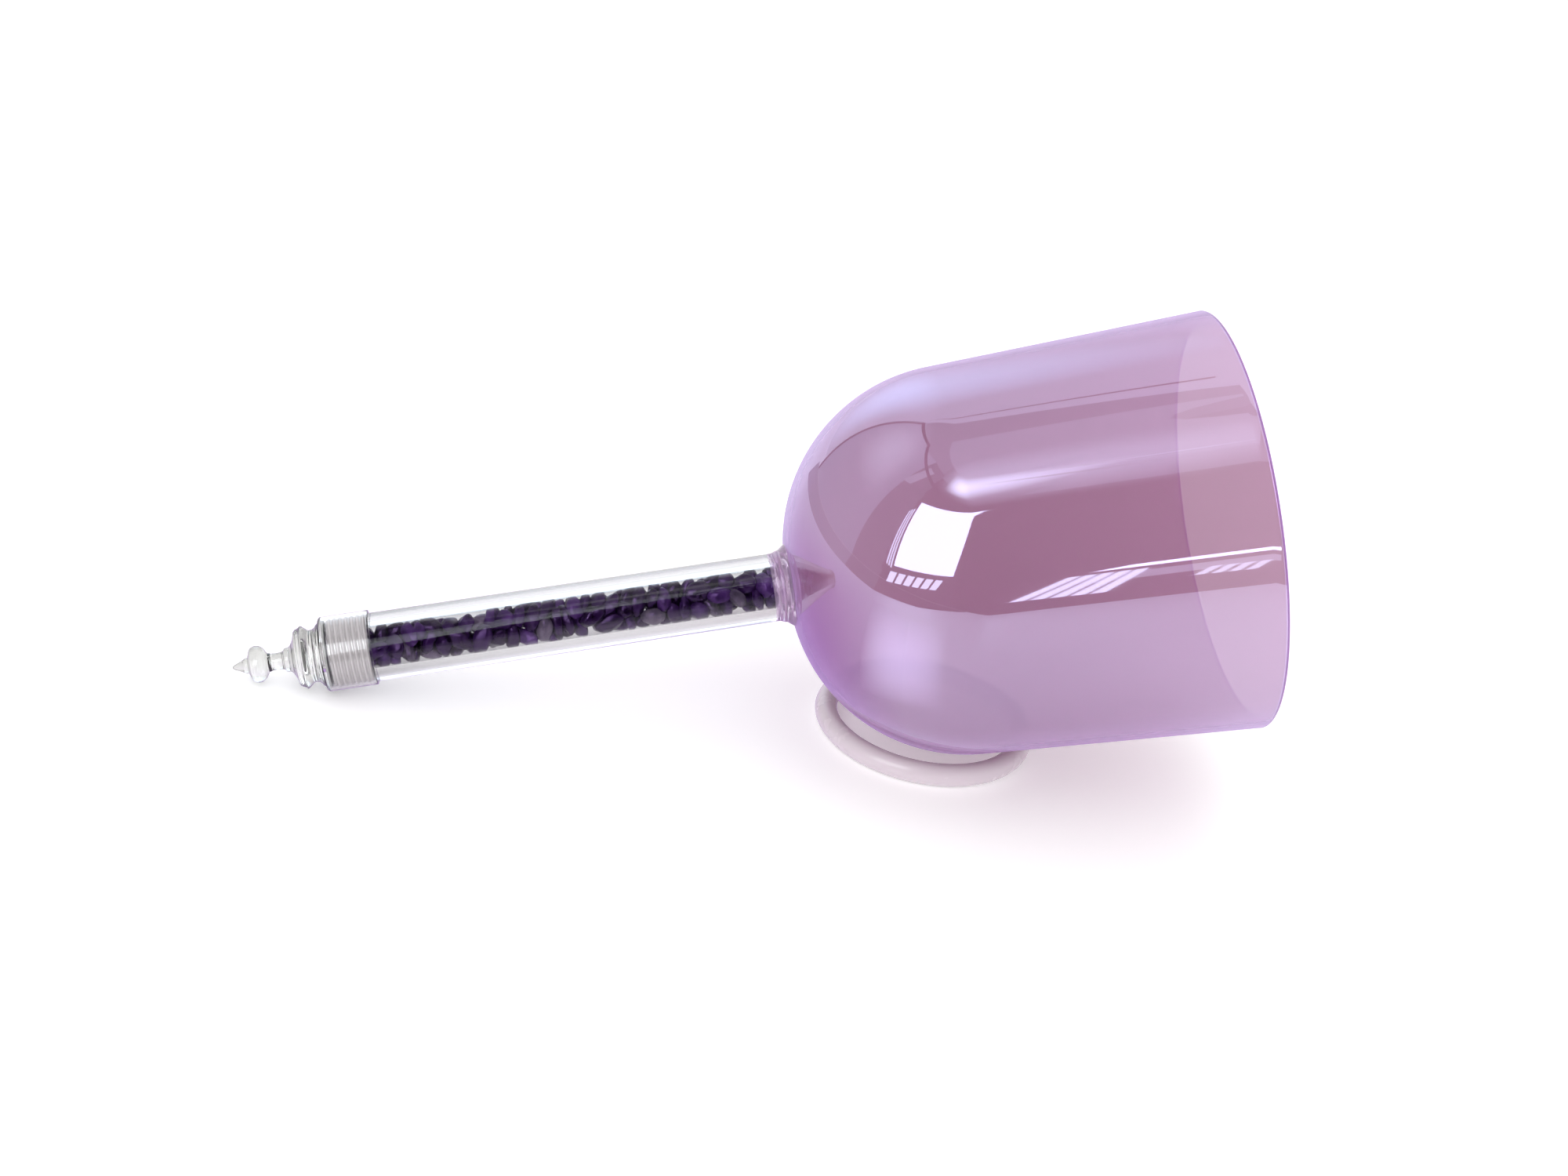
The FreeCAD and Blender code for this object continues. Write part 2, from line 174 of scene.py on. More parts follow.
def turned(name, runs, materials, segments=192):
    """A turned piece. Each run is (points, material index), and the last meets the first."""
    ring = []
    for points, index in runs:
        for point in points:
            if not ring or math.dist(ring[-1][0], point) > 1e-5:
                ring.append((point, index))
            else:
                ring[-1] = (ring[-1][0], index)
    if math.dist(ring[0][0], ring[-1][0]) < 1e-5:
        ring.pop()
    bm = bmesh.new()
    rows = [[bm.verts.new(on_axis(s, max(r, 0), 2 * math.pi * k / segments))
             for k in range(segments)] for (s, r), _ in ring]
    for i, (_, index) in enumerate(ring):
        here, there = rows[i], rows[(i + 1) % len(rows)]
        for k in range(segments):
            n = (k + 1) % segments
            face = bm.faces.new((here[k], here[n], there[n], there[k]))
            face.material_index = index
    mesh = bpy.data.meshes.new(name)
    cleaned(bm).to_mesh(mesh)
    bm.free()
    return finish_mesh(name, mesh, materials)


# ---------------------------------------------------------------- materials
def shader(name):
    """A new material, with its nodes, its links and its main shader."""
    material = bpy.data.materials.new(name)
    material.use_nodes = True
    nodes = material.node_tree.nodes
    return material, nodes, material.node_tree.links, nodes["Principled BSDF"]


def add_bump(nodes, links, principled, scale, strength, distance):
    """Fine relief from noise in the row frame."""
    where = nodes.new("ShaderNodeTexCoord")
    grain = nodes.new("ShaderNodeTexNoise")
    grain.inputs["Scale"].default_value = scale
    grain.inputs["Detail"].default_value = 3.0
    bump = nodes.new("ShaderNodeBump")
    bump.inputs["Strength"].default_value = strength
    bump.inputs["Distance"].default_value = distance
    links.new(where.outputs["Object"], grain.inputs["Vector"])
    links.new(grain.outputs["Fac"], bump.inputs["Height"])
    links.new(bump.outputs["Normal"], principled.inputs["Normal"])
    return grain


def noisy_roughness(nodes, links, principled, grain, low, high):
    """Roughness that wanders from low to high with the same noise as the relief."""
    spread = nodes.new("ShaderNodeMapRange")
    spread.inputs["From Min"].default_value = 0.3
    spread.inputs["From Max"].default_value = 0.7
    spread.inputs["To Min"].default_value = low
    spread.inputs["To Max"].default_value = high
    links.new(grain.outputs["Fac"], spread.inputs["Value"])
    links.new(spread.outputs["Result"], principled.inputs["Roughness"])


def lets_lamps_through(nodes, links, principled, tint):
    """Lamps shine through the glass as if it were a clear sheet of this tint."""
    rays = nodes.new("ShaderNodeLightPath")
    clear = nodes.new("ShaderNodeBsdfTransparent")
    clear.inputs["Color"].default_value = (*tint, 1)
    mix = nodes.new("ShaderNodeMixShader")
    links.new(rays.outputs["Is Shadow Ray"], mix.inputs[0])
    links.new(principled.outputs[0], mix.inputs[1])
    links.new(clear.outputs[0], mix.inputs[2])
    links.new(mix.outputs[0], nodes["Material Output"].inputs["Surface"])


def edge_tint_and_painted_shade(nodes, links, principled, colour, edge):
    """Glass is painted darker where it is seen edge on: partly the tint of the longer path through
    it, partly painted shade along the glass's edges.
    """
    slant = nodes.new("ShaderNodeLayerWeight")
    slant.inputs["Blend"].default_value = 0.5
    ramp = nodes.new("ShaderNodeValToRGB")
    ramp.color_ramp.elements[0].position = 0.35
    ramp.color_ramp.elements[0].color = (*colour, 1)
    ramp.color_ramp.elements[1].position = 0.92
    ramp.color_ramp.elements[1].color = (*edge, 1)
    links.new(slant.outputs["Facing"], ramp.inputs["Fac"])
    links.new(ramp.outputs["Color"], principled.inputs["Base Color"])


def glass(name, ior, colour=(1, 1, 1), edge=None, film=0.0, roughness=(0.0, 0.0),
          bump=(40, 0.05, 0.0004), shadow=(0.95, 0.95, 0.95), shine=1.0):
    """Clear or tinted glass, painted darker where it is seen edge on: partly tint, partly painted
    shade.

    film is the coating's thickness in nanometres, bump the relief's scale, strength and
    distance, shadow the tint of the light that lamps send through, and shine how much of the
    usual mirroring is left.
    """
    material, nodes, links, principled = shader(name)
    principled.inputs["Specular Tint"].default_value = (shine, shine, shine, 1)
    principled.inputs["Base Color"].default_value = (*colour, 1)
    principled.inputs["Transmission Weight"].default_value = 1.0
    principled.inputs["IOR"].default_value = ior
    principled.inputs["Roughness"].default_value = roughness[0]
    if film:
        principled.inputs["Thin Film Thickness"].default_value = film
        principled.inputs["Thin Film IOR"].default_value = COATING_IOR
    grain = add_bump(nodes, links, principled, *bump)
    if roughness[1] > roughness[0]:
        noisy_roughness(nodes, links, principled, grain, *roughness)
    lets_lamps_through(nodes, links, principled, shadow)
    # painted shade along the edges seen edge on, partly the tint of the longer path
    if edge:
        edge_tint_and_painted_shade(nodes, links, principled, colour, edge)
    return material


def over_glass(material, share, coat):
    """Mixes another shader into a glass, with this share."""
    nodes, links = material.node_tree.nodes, material.node_tree.links
    principled = nodes["Principled BSDF"]
    after = principled.outputs[0].links[0].to_socket
    mix = nodes.new("ShaderNodeMixShader")
    mix.inputs[0].default_value = share
    links.new(principled.outputs[0], mix.inputs[1])
    links.new(coat.outputs[0], mix.inputs[2])
    links.new(mix.outputs[0], after)
    return material


def sheen(material, share, colour):
    """The coating's own mirror colour, over a glass."""
    mirror = material.node_tree.nodes.new("ShaderNodeBsdfAnisotropic")
    mirror.inputs["Color"].default_value = (*colour, 1)
    mirror.inputs["Roughness"].default_value = COATING_ROUGHNESS
    return over_glass(material, share, mirror)


def hazy(material, share, colour, through=0.5, thin_share=None, by="side"):
    """Lays a milky bloom on a glass: that share of the light is scattered in this colour.

    through is how much of it goes on to the other side. thin_share is the bloom's share where
    it is thinnest: for light from the open side, in the grooves of a ridged piece, or where
    the glass is seen face on.
    """
    nodes, links = material.node_tree.nodes, material.node_tree.links
    bloom = nodes.new("ShaderNodeBsdfTranslucent")
    bloom.inputs["Color"].default_value = (*colour, 1)
    matt = nodes.new("ShaderNodeBsdfDiffuse")
    matt.inputs["Color"].default_value = (*colour, 1)
    both = nodes.new("ShaderNodeMixShader")
    both.inputs[0].default_value = through
    links.new(matt.outputs[0], both.inputs[1])
    links.new(bloom.outputs[0], both.inputs[2])
    material = over_glass(material, share, both)
    if thin_share is not None:
        spread = nodes.new("ShaderNodeMapRange")
        spread.inputs["To Min"].default_value = thin_share
        spread.inputs["To Max"].default_value = share
        if by == "ridge":
            height = nodes.new("ShaderNodeAttribute")
            height.attribute_name = "ridge"
            links.new(height.outputs["Fac"], spread.inputs["Value"])
        elif by == "slant":
            slant = nodes.new("ShaderNodeLayerWeight")
            slant.inputs["Blend"].default_value = 0.5
            spread.inputs["From Min"].default_value = 0.55
            links.new(slant.outputs["Facing"], spread.inputs["Value"])
        else:
            side = nodes.new("ShaderNodeNewGeometry")
            links.new(side.outputs["Backfacing"], spread.inputs["Value"])
        links.new(spread.outputs["Result"], both.outputs[0].links[0].to_node.inputs[0])
    return material


def milky(name, colour, roughness, radius, bump, transmission=0.0):
    """Silicone that light soaks into, to this radius in millimetres."""
    material, nodes, links, principled = shader(name)
    principled.inputs["Base Color"].default_value = (*colour, 1)
    principled.inputs["Subsurface Weight"].default_value = 0.8
    principled.inputs["Subsurface Radius"].default_value = (1.0, 0.9, 1.0)
    principled.inputs["Subsurface Scale"].default_value = radius * MM
    principled.inputs["Transmission Weight"].default_value = transmission
    principled.inputs["IOR"].default_value = 1.42
    grain = add_bump(nodes, links, principled, *bump)
    noisy_roughness(nodes, links, principled, grain, *roughness)
    return material


BLOWN = (9, 0.02, 0.002)        # the slow waves of a blown wall

# The second colour given to a glass is its edge-on colour: partly the tint of the longer path,
# partly painted shade along the edges.
BOWL_OUTSIDE = hazy(sheen(glass("bowl_coated_quartz", QUARTZ_IOR, (0.80, 0.64, 0.74),
                                (0.60, 0.36, 0.64), film=17.0, bump=BLOWN,
                                shadow=(0.97, 0.94, 0.97)),
                          0.18, (0.64, 0.66, 1.0)),
                    0.85, (0.58, 0.37, 0.66), through=0.3, thin_share=0.0, by="slant")
BOWL_INSIDE = hazy(glass("bowl_frosted_quartz", QUARTZ_IOR, (0.49, 0.45, 0.46), bump=BLOWN,
                         shadow=(1, 1, 1), shine=0.35),
                   0.70, (0.94, 0.50, 0.80), thin_share=0.10)
BOWL_RIM = sheen(glass("rim_polished_quartz", QUARTZ_IOR, (0.52, 0.28, 0.60), bump=BLOWN),
                 0.2, (0.62, 0.42, 0.9))
FOOT_QUARTZ = hazy(glass("foot_fused_quartz", QUARTZ_IOR, (0.97, 0.91, 0.99), (0.72, 0.56, 0.84),
                         bump=(30, 0.05, 0.001), shadow=(0.97, 0.96, 0.98)),
                   0.22, (0.92, 0.70, 0.98))
TUBE_QUARTZ = glass("tube_clear_quartz", 1.458, (0.73, 0.725, 0.735), (0.36, 0.36, 0.39),
                    bump=(25, 0.03, 0.0005), shine=0.3)
FINIAL_GLASS = glass("finial_clear_glass", 1.5, (0.72, 0.72, 0.70), (0.14, 0.14, 0.13),
                     bump=(90, 0.10, 0.0008))
COLLAR_PLASTIC = glass("collar_clear_plastic", 1.49, (0.95, 0.94, 0.95), (0.72, 0.70, 0.72),
                       roughness=(0.02, 0.06), bump=(300, 0.03, 0.0003), shine=0.4)
SLEEVE_PLASTIC = hazy(sheen(glass("sleeve_milky_plastic", SLEEVE_IOR, (0.80, 0.78, 0.80),
                                  roughness=(0.10, 0.16), bump=(60, 0.03, 0.0003)),
                            0.20, (0.95, 0.94, 0.95)),
                      0.97, (0.98, 0.94, 0.95), through=0.05, thin_share=0.50, by="ridge")
SEAL_SILICONE = milky("seal_silicone", (0.86, 0.86, 0.86), (0.4, 0.55), 1.0,
                      (200, 0.05, 0.0003), transmission=0.3)
RING_SILICONE = milky("ring_silicone", (0.68, 0.61, 0.66), (0.16, 0.30), 5.0,
                      (70, 0.05, 0.0004))


def amethyst(name, dark, light, transmission):
    """Tumbled amethyst: each stone has its own tone, and colour zones inside it."""
    material, nodes, links, principled = shader(name)
    tone = nodes.new("ShaderNodeAttribute")
    tone.attribute_name = "tone"
    grain = add_bump(nodes, links, principled, 900, 0.25, 0.0003)
    zones = nodes.new("ShaderNodeTexNoise")
    zones.inputs["Scale"].default_value = 260
    zones.inputs["Detail"].default_value = 2
    where = nodes.new("ShaderNodeTexCoord")
    links.new(where.outputs["Object"], zones.inputs["Vector"])
    blend = nodes.new("ShaderNodeMath")
    blend.operation = "MULTIPLY_ADD"
    blend.inputs[1].default_value = 0.9
    links.new(zones.outputs["Fac"], blend.inputs[0])
    shift = nodes.new("ShaderNodeMath")
    shift.operation = "MULTIPLY_ADD"
    shift.inputs[1].default_value = 0.75
    shift.inputs[2].default_value = -0.35
    links.new(tone.outputs["Fac"], shift.inputs[0])
    links.new(shift.outputs[0], blend.inputs[2])
    ramp = nodes.new("ShaderNodeValToRGB")
    ramp.color_ramp.elements[0].position = 0.15
    ramp.color_ramp.elements[0].color = (*dark, 1)
    ramp.color_ramp.elements[1].position = 0.85
    ramp.color_ramp.elements[1].color = (*light, 1)
    links.new(blend.outputs[0], ramp.inputs["Fac"])
    links.new(ramp.outputs["Color"], principled.inputs["Base Color"])
    principled.inputs["Transmission Weight"].default_value = transmission
    principled.inputs["IOR"].default_value = 1.55
    principled.inputs["Specular IOR Level"].default_value = 0.6
    principled.inputs["Specular Tint"].default_value = (0.62, 0.36, 0.88, 1)
    noisy_roughness(nodes, links, principled, grain, 0.03, 0.12)
    return material


AMETHYST = {
    "deep": amethyst("amethyst_deep", (0.004, 0.001, 0.010), (0.060, 0.016, 0.130), 0.1),
    "violet": amethyst("amethyst_violet", (0.014, 0.003, 0.040), (0.20, 0.070, 0.40), 0.2),
    "pale": amethyst("amethyst_pale", (0.04, 0.02, 0.07), (0.42, 0.34, 0.48), 0.3),
}


# ---------------------------------------------------------------- the bowl
# Its side is a straight, slightly flared wall, a knuckle and a shallow base, each tangent to
# the next. The knuckle's centre solves a quadratic.
SLOPE = math.tan(WALL_FLARE)
OFFSET_R = MOUTH_RADIUS - BOWL_LENGTH * SLOPE - KNUCKLE_RADIUS / math.cos(WALL_FLARE)
SQUARE = 1 + SLOPE ** 2
LINEAR = 2 * (OFFSET_R * SLOPE - BASE_RADIUS)
CONSTANT = BASE_RADIUS ** 2 + OFFSET_R ** 2 - (BASE_RADIUS - KNUCKLE_RADIUS) ** 2
KNUCKLE_S = (-LINEAR - math.sqrt(LINEAR ** 2 - 4 * SQUARE * CONSTANT)) / (2 * SQUARE)
KNUCKLE_R = OFFSET_R + KNUCKLE_S * SLOPE
BASE_TURN = math.pi - math.atan2(KNUCKLE_R, BASE_RADIUS - KNUCKLE_S)
WALL_TURN = math.pi / 2 + WALL_FLARE


def base_surface(r, depth):
    """Where the base's face is at this radius, that deep inside the wall."""
    return BASE_RADIUS - math.sqrt((BASE_RADIUS - depth) ** 2 - r ** 2)


def bowl_side(depth):
    """One face of the bowl, from the foot's hole to where the rim's rounding begins."""
    start = math.pi - math.asin((SPIGOT_RADIUS + BOND_GAP) / (BASE_RADIUS - depth))
    base = arc_about((BASE_RADIUS, 0), BASE_RADIUS - depth, start, BASE_TURN, 12)
    knuckle = arc_about((KNUCKLE_S, KNUCKLE_R), KNUCKLE_RADIUS - depth, BASE_TURN, WALL_TURN, 72)
    edge_s = BOWL_LENGTH - RIM_ROUND
    edge_r = MOUTH_RADIUS - RIM_ROUND * SLOPE - depth / math.cos(WALL_FLARE)
    return base + knuckle[1:] + straight(knuckle[-1], (edge_s, edge_r), 30)[1:]


def build_bowl():
    outer = bowl_side(0)
    inner = bowl_side(WALL)
    lip_s = BOWL_LENGTH - RIM_ROUND
    outer_lip = arc_about((lip_s, outer[-1][1] - RIM_ROUND), RIM_ROUND, math.pi / 2, 0, 8)
    inner_lip = arc_about((lip_s, inner[-1][1] + RIM_ROUND), RIM_ROUND, 0, -math.pi / 2, 8)
    bowl = turned("singing_bowl", [(outer, 0), (outer_lip, 2), (inner_lip, 2), (inner[::-1], 1)],
                  [BOWL_OUTSIDE, BOWL_INSIDE, BOWL_RIM], segments=320)
    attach(bowl, "bowl")
    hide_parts("bowl_shell")


# ---------------------------------------------------------------- the handle
def build_foot():
    """The fused joint, with the slight ripples that the flame leaves in the flare."""
    seat_s = base_surface(FOOT_RADIUS, -BOND_GAP)
    face = -FOOT_LENGTH
    bore = ([(BORE_END, 0)] + arc_about((BORE_END - BORE_END_ROUND, BORE_RADIUS - BORE_END_ROUND),
                                        BORE_END_ROUND, 0, math.pi / 2, 10)
            + [(face, BORE_RADIUS)])
    flare = flowing([(face, TUBE_RADIUS), (face + 2.0, TUBE_RADIUS + 0.12),
                     (face + 3.6, TUBE_RADIUS + 0.75), (face + 4.8, TUBE_RADIUS + 0.95),
                     (face + 6.0, TUBE_RADIUS + 1.9), (seat_s, FOOT_RADIUS)], 8)
    seat = [(base_surface(r, -BOND_GAP), r)
            for r in [FOOT_RADIUS + (SPIGOT_RADIUS - FOOT_RADIUS) * i / 6 for i in range(7)]]
    cone_start = (WALL + 1.2, SPIGOT_RADIUS)
    cone_stop = (CONE_END - CONE_TIP_RADIUS, CONE_TIP_RADIUS)
    cone = flowing([cone_start, (8.0, 6.5), (12.0, 4.3), cone_stop], 8)
    tip = arc_about((cone_stop[0], 0), CONE_TIP_RADIUS, math.pi / 2, 0, 10)
    foot = turned("fused_foot", one_material(bore, flare, seat, cone, tip), [FOOT_QUARTZ],
                  segments=160)
    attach(foot, "bowl")
    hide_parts("handle_foot")


def build_tube():
    """The grip, stepped down at the neck, with a fire-polished open end."""
    edge = 0.5
    face = -FOOT_LENGTH - BOND_GAP
    runs = one_material(
        [(face, BORE_RADIUS)],
        straight((face, TUBE_RADIUS), (NECK_STEP, TUBE_RADIUS), 24),
        [(NECK_STEP, NECK_RADIUS)],
        [(TUBE_END + edge, NECK_RADIUS)],
        arc_about((TUBE_END + edge, NECK_RADIUS - edge), edge, math.pi / 2, math.pi, 5),
        arc_about((TUBE_END + edge, BORE_RADIUS + edge), edge, math.pi, 1.5 * math.pi, 5),
        straight((TUBE_END + edge, BORE_RADIUS), (face, BORE_RADIUS), 24))
    tube = turned("clear_tube", runs, [TUBE_QUARTZ], segments=192)
    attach(tube, "bowl")
    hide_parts("handle_tube")


def thread_height(s, angle):
    """The sleeve's thread, as a share of its depth: round ribs that wind round the neck."""
    start = NECK_STEP - BOND_GAP
    turns = (start - s) / THREAD_PITCH - angle / (2 * math.pi)
    wave = 0.5 - 0.5 * math.cos(2 * math.pi * turns)
    run_in = (start - s) / THREAD_FADE
    run_out = (s - start + THREAD_TURNS * THREAD_PITCH) / THREAD_FADE
    return max(0.0, min(1, run_in, run_out)) * wave ** THREAD_SHARPNESS


def build_sleeve():
    start = NECK_STEP - BOND_GAP
    end = start - THREAD_TURNS * THREAD_PITCH
    bore = NECK_RADIUS + BOND_GAP
    depth = THREAD_CREST - THREAD_ROOT
    rows, segments = 170, 160
    turns = [2 * math.pi * k / segments for k in range(segments)]
    bm = bmesh.new()
    grid = []
    for i in range(rows + 1):
        s = start + (end - start) * i / rows
        grid.append([bm.verts.new(on_axis(s, THREAD_ROOT + depth * thread_height(s, turn), turn))
                     for turn in turns])
    for s in (end, start):
        grid.append([bm.verts.new(on_axis(s, bore, turn)) for turn in turns])
    for i, here in enumerate(grid):
        there = grid[(i + 1) % len(grid)]
        for k in range(segments):
            n = (k + 1) % segments
            bm.faces.new((here[k], here[n], there[n], there[k]))
    ridge = bm.verts.layers.float.new("ridge")
    for vert in bm.verts:
        radius = (vert.co - BASE).cross(AXIS).length / MM
        vert[ridge] = (radius - THREAD_ROOT) / depth
    mesh = bpy.data.meshes.new("neck_sleeve")
    cleaned(bm).to_mesh(mesh)
    bm.free()
    sleeve = finish_mesh("neck_sleeve", mesh, [SLEEVE_PLASTIC], crease=math.radians(50))
    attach(sleeve, "bowl")
    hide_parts("thread_sleeve")


# ---------------------------------------------------------------- the cap
def build_collar():
    """A clear cup with a plain bore, with a hole in its closed end for the finial."""
    hole = FINIAL_SPIGOT_RADIUS + BOND_GAP
    inner_end = COLLAR_OUT + COLLAR_END_WALL
    shoulder = COLLAR_OUT + COLLAR_ROUND
    edge = 0.3
    runs = one_material(
        [(COLLAR_OUT, hole)],
        arc_about((shoulder, COLLAR_RADIUS - COLLAR_ROUND), COLLAR_ROUND, math.pi, math.pi / 2, 8),
        straight((shoulder, COLLAR_RADIUS), (COLLAR_IN - edge, COLLAR_RADIUS), 8),
        arc_about((COLLAR_IN - edge, COLLAR_RADIUS - edge), edge, math.pi / 2, 0, 4),
        [(COLLAR_IN, COLLAR_BORE)],
        [(inner_end, COLLAR_BORE), (inner_end, hole)])
    collar = turned("collar", runs, [COLLAR_PLASTIC], segments=192)
    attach(collar, "cap")
    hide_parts("screw_collar")


def build_seal():
    """A washer, squeezed so that its rims bulge a little."""
    start = COLLAR_OUT + COLLAR_END_WALL + SEAL_PLAY
    end = TUBE_END - SEAL_PLAY
    middle = (start + end) / 2
    edge = SEAL_RADIUS - SEAL_BULGE
    runs = one_material(
        [(start, SEAL_HOLE), (start, edge)],
        flowing([(start, edge), (middle, SEAL_RADIUS), (end, edge)], 4),
        flowing([(end, SEAL_HOLE), (middle, SEAL_HOLE - 0.1), (start, SEAL_HOLE)], 4))
    seal = turned("seal_washer", runs, [SEAL_SILICONE], segments=128)
    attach(seal, "seal")
    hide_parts("cap_seal")


def build_finial():
    """Turned glass: cone, bead, neck, bell and sharp disc, as distances from the tip and radii."""
    tip = COLLAR_OUT - FINIAL_LENGTH
    foot = COLLAR_OUT - BOND_GAP
    plug_end = COLLAR_OUT + COLLAR_END_WALL

    def at(*points):
        return [(tip + u, r) for u, r in points]

    runs = one_material(
        flowing(at((0, 0), (0.12, 0.42), (0.6, 0.85), (3.2, 2.1), (5.5, 3.25)), 6),
        flowing(at((5.5, 3.25), (6.0, 3.2), (6.3, 3.05)), 4),
        flowing(at((6.3, 3.05), (6.75, 4.6), (7.7, 6.7), (9.2, 7.5), (10.4, 7.62), (11.6, 7.4),
                   (13.2, 6.3), (14.2, 4.7), (14.7, 3.9)), 6),
        flowing(at((14.7, 3.9), (15.4, 3.8), (16.2, 3.55), (18.2, 3.45), (20.2, 3.6),
                   (21.2, 4.0), (21.6, 4.7)), 5),
        flowing(at((21.6, 4.7), (22.3, 4.95), (23.1, 4.95)), 4),
        flowing(at((23.1, 4.95), (24.3, 5.9), (25.5, 8.2), (26.4, 11.0), (26.8, 11.55)), 6),
        flowing(at((26.8, 11.55), (27.2, 11.9), (27.6, 11.95)), 4),
        flowing(at((27.6, 11.95), (28.6, 12.5), (29.2, 13.0), (29.5, 13.05), (29.9, 12.85),
                   (31.4, 11.7)), 5),
        flowing(at((31.4, 11.7), (32.3, 11.0), (33.4, 10.85), (34.6, 11.2), (35.3, 11.8)), 5),
        flowing(at((35.3, 11.8), (35.9, 12.6), (36.5, 13.1)) + [(foot, 13.3)], 4),
        [(foot, FINIAL_SPIGOT_RADIUS), (plug_end, FINIAL_SPIGOT_RADIUS), (plug_end, 0)])
    finial = turned("turned_finial", runs, [FINIAL_GLASS], segments=160)
    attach(finial, "cap")
    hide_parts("finial")


# ---------------------------------------------------------------- the support ring
def build_ring():
    """A round section with a narrow flat foot, and the parting line that moulding leaves."""
    low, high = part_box("support_ring")
    section = (high.z - low.z + RING_FOOT_CUT * MM) / 2
    mean = (high.y - low.y) / 2 - section
    middle = (low.x + high.x) / 2
    height = high.z - section
    half_foot = math.acos(height / section)
    seam_height, seam_width = 0.05 * MM, 0.004
    steps, segments = 48, 224
    bm = bmesh.new()
    rows = []
    for k in range(segments):
        turn = 2 * math.pi * k / segments
        row = []
        for i in range(steps):
            roll = -math.pi / 2 + half_foot + (2 * math.pi - 2 * half_foot) * i / (steps - 1)
            seam = seam_height * math.exp(-((math.cos(roll) - 1) / seam_width) ** 2)
            reach = mean + (section - seam_height + seam) * math.cos(roll)
            lift = height + section * math.sin(roll)
            row.append(bm.verts.new((middle + reach * math.cos(turn), reach * math.sin(turn),
                                     lift)))
        rows.append(row)
    for k in range(segments):
        here, there = rows[k], rows[(k + 1) % segments]
        for i in range(steps):
            n = (i + 1) % steps
            bm.faces.new((here[i], here[n], there[n], there[i]))
    mesh = bpy.data.meshes.new("silicone_ring")
    cleaned(bm).to_mesh(mesh)
    bm.free()
    ring = finish_mesh("silicone_ring", mesh, [RING_SILICONE])
    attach(ring, "ring")
    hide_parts("support_ring")


# ---------------------------------------------------------------- the amethyst chips
def island_ids(bm):
    """Which stone each point belongs to, and how many stones there are."""
    ids, count = {}, 0
    for seed in bm.verts:
        if seed in ids:
            continue
        stack = [seed]
        ids[seed] = count
        while stack:
            for edge in stack.pop().link_edges:
                for vert in edge.verts:
                    if vert not in ids:
                        ids[vert] = count
                        stack.append(vert)
        count += 1
    return ids, count


def tumble(name, node, material):
    """Rounds every stone of a CAD group like a tumbled pebble, inside the bore."""
    bm = bmesh.new()
    bm.from_mesh(frame["nodes"][node].data)
    bmesh.ops.remove_doubles(bm, verts=bm.verts, dist=1e-6)
    layer = bm.verts.layers.float.new("stone")
    crease = bm.edges.layers.float.new("crease_edge")
    for edge in bm.edges:
        start, end = (vert.co for vert in edge.verts)
        edge[crease] = 0.25 + 0.35 * abs(noise.noise(start * 700 + end * 500))
    ids, count = island_ids(bm)
    centres = [Vector() for _ in range(count)]
    sizes = [0] * count
    for vert, index in ids.items():
        vert[layer] = index
        centres[index] += vert.co
        sizes[index] += 1
    centres = [c / n for c, n in zip(centres, sizes)]
    coarse = bpy.data.meshes.new(name + "_coarse")
    bm.to_mesh(coarse)
    bm.free()
    rough = bpy.data.objects.new(name + "_coarse", coarse)
    bpy.context.scene.collection.objects.link(rough)
    smooth = rough.modifiers.new("round", "SUBSURF")
    smooth.levels = 3
    bpy.context.view_layer.update()
    rounded = rough.evaluated_get(bpy.context.evaluated_depsgraph_get())
    mesh = bpy.data.meshes.new_from_object(rounded)
    bpy.data.objects.remove(rough)
    mesh.name = name
    stones = mesh.attributes["stone"].data
    tone = mesh.attributes.new("tone", "FLOAT", "POINT")
    room = (BORE_RADIUS - STONE_PLAY) * MM
    for vert, stone in zip(mesh.vertices, stones):
        centre = centres[round(stone.value)]
        out = (vert.co - centre) * STONE_GROWTH
        ripple = noise.noise(vert.co * 420) * 0.22 + noise.noise(vert.co * 1100) * 0.07
        point = centre + out + out.normalized() * ripple * MM
        offset = point - BASE
        along = offset.dot(AXIS)
        across = offset - AXIS * along
        if across.length > room:
            across *= room / across.length
        vert.co = BASE + AXIS * along + across
    for point, stone in zip(tone.data, stones):
        point.value = 0.5 + 0.5 * noise.noise(centres[round(stone.value)] * 900)
    chips = finish_mesh(name, mesh, [material], crease=math.radians(70))
    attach(chips, "bowl")
    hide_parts(node)


# ---------------------------------------------------------------- the stage
def plain(name, colour, roughness, lit):
    """A plain surface that also glows faintly, as a lit sweep of white paper does."""
    material, nodes, links, principled = shader(name)
    principled.inputs["Base Color"].default_value = (*colour, 1)
    principled.inputs["Roughness"].default_value = roughness
    principled.inputs["Emission Color"].default_value = (1, 1, 1, 1)
    principled.inputs["Emission Strength"].default_value = lit
    return material


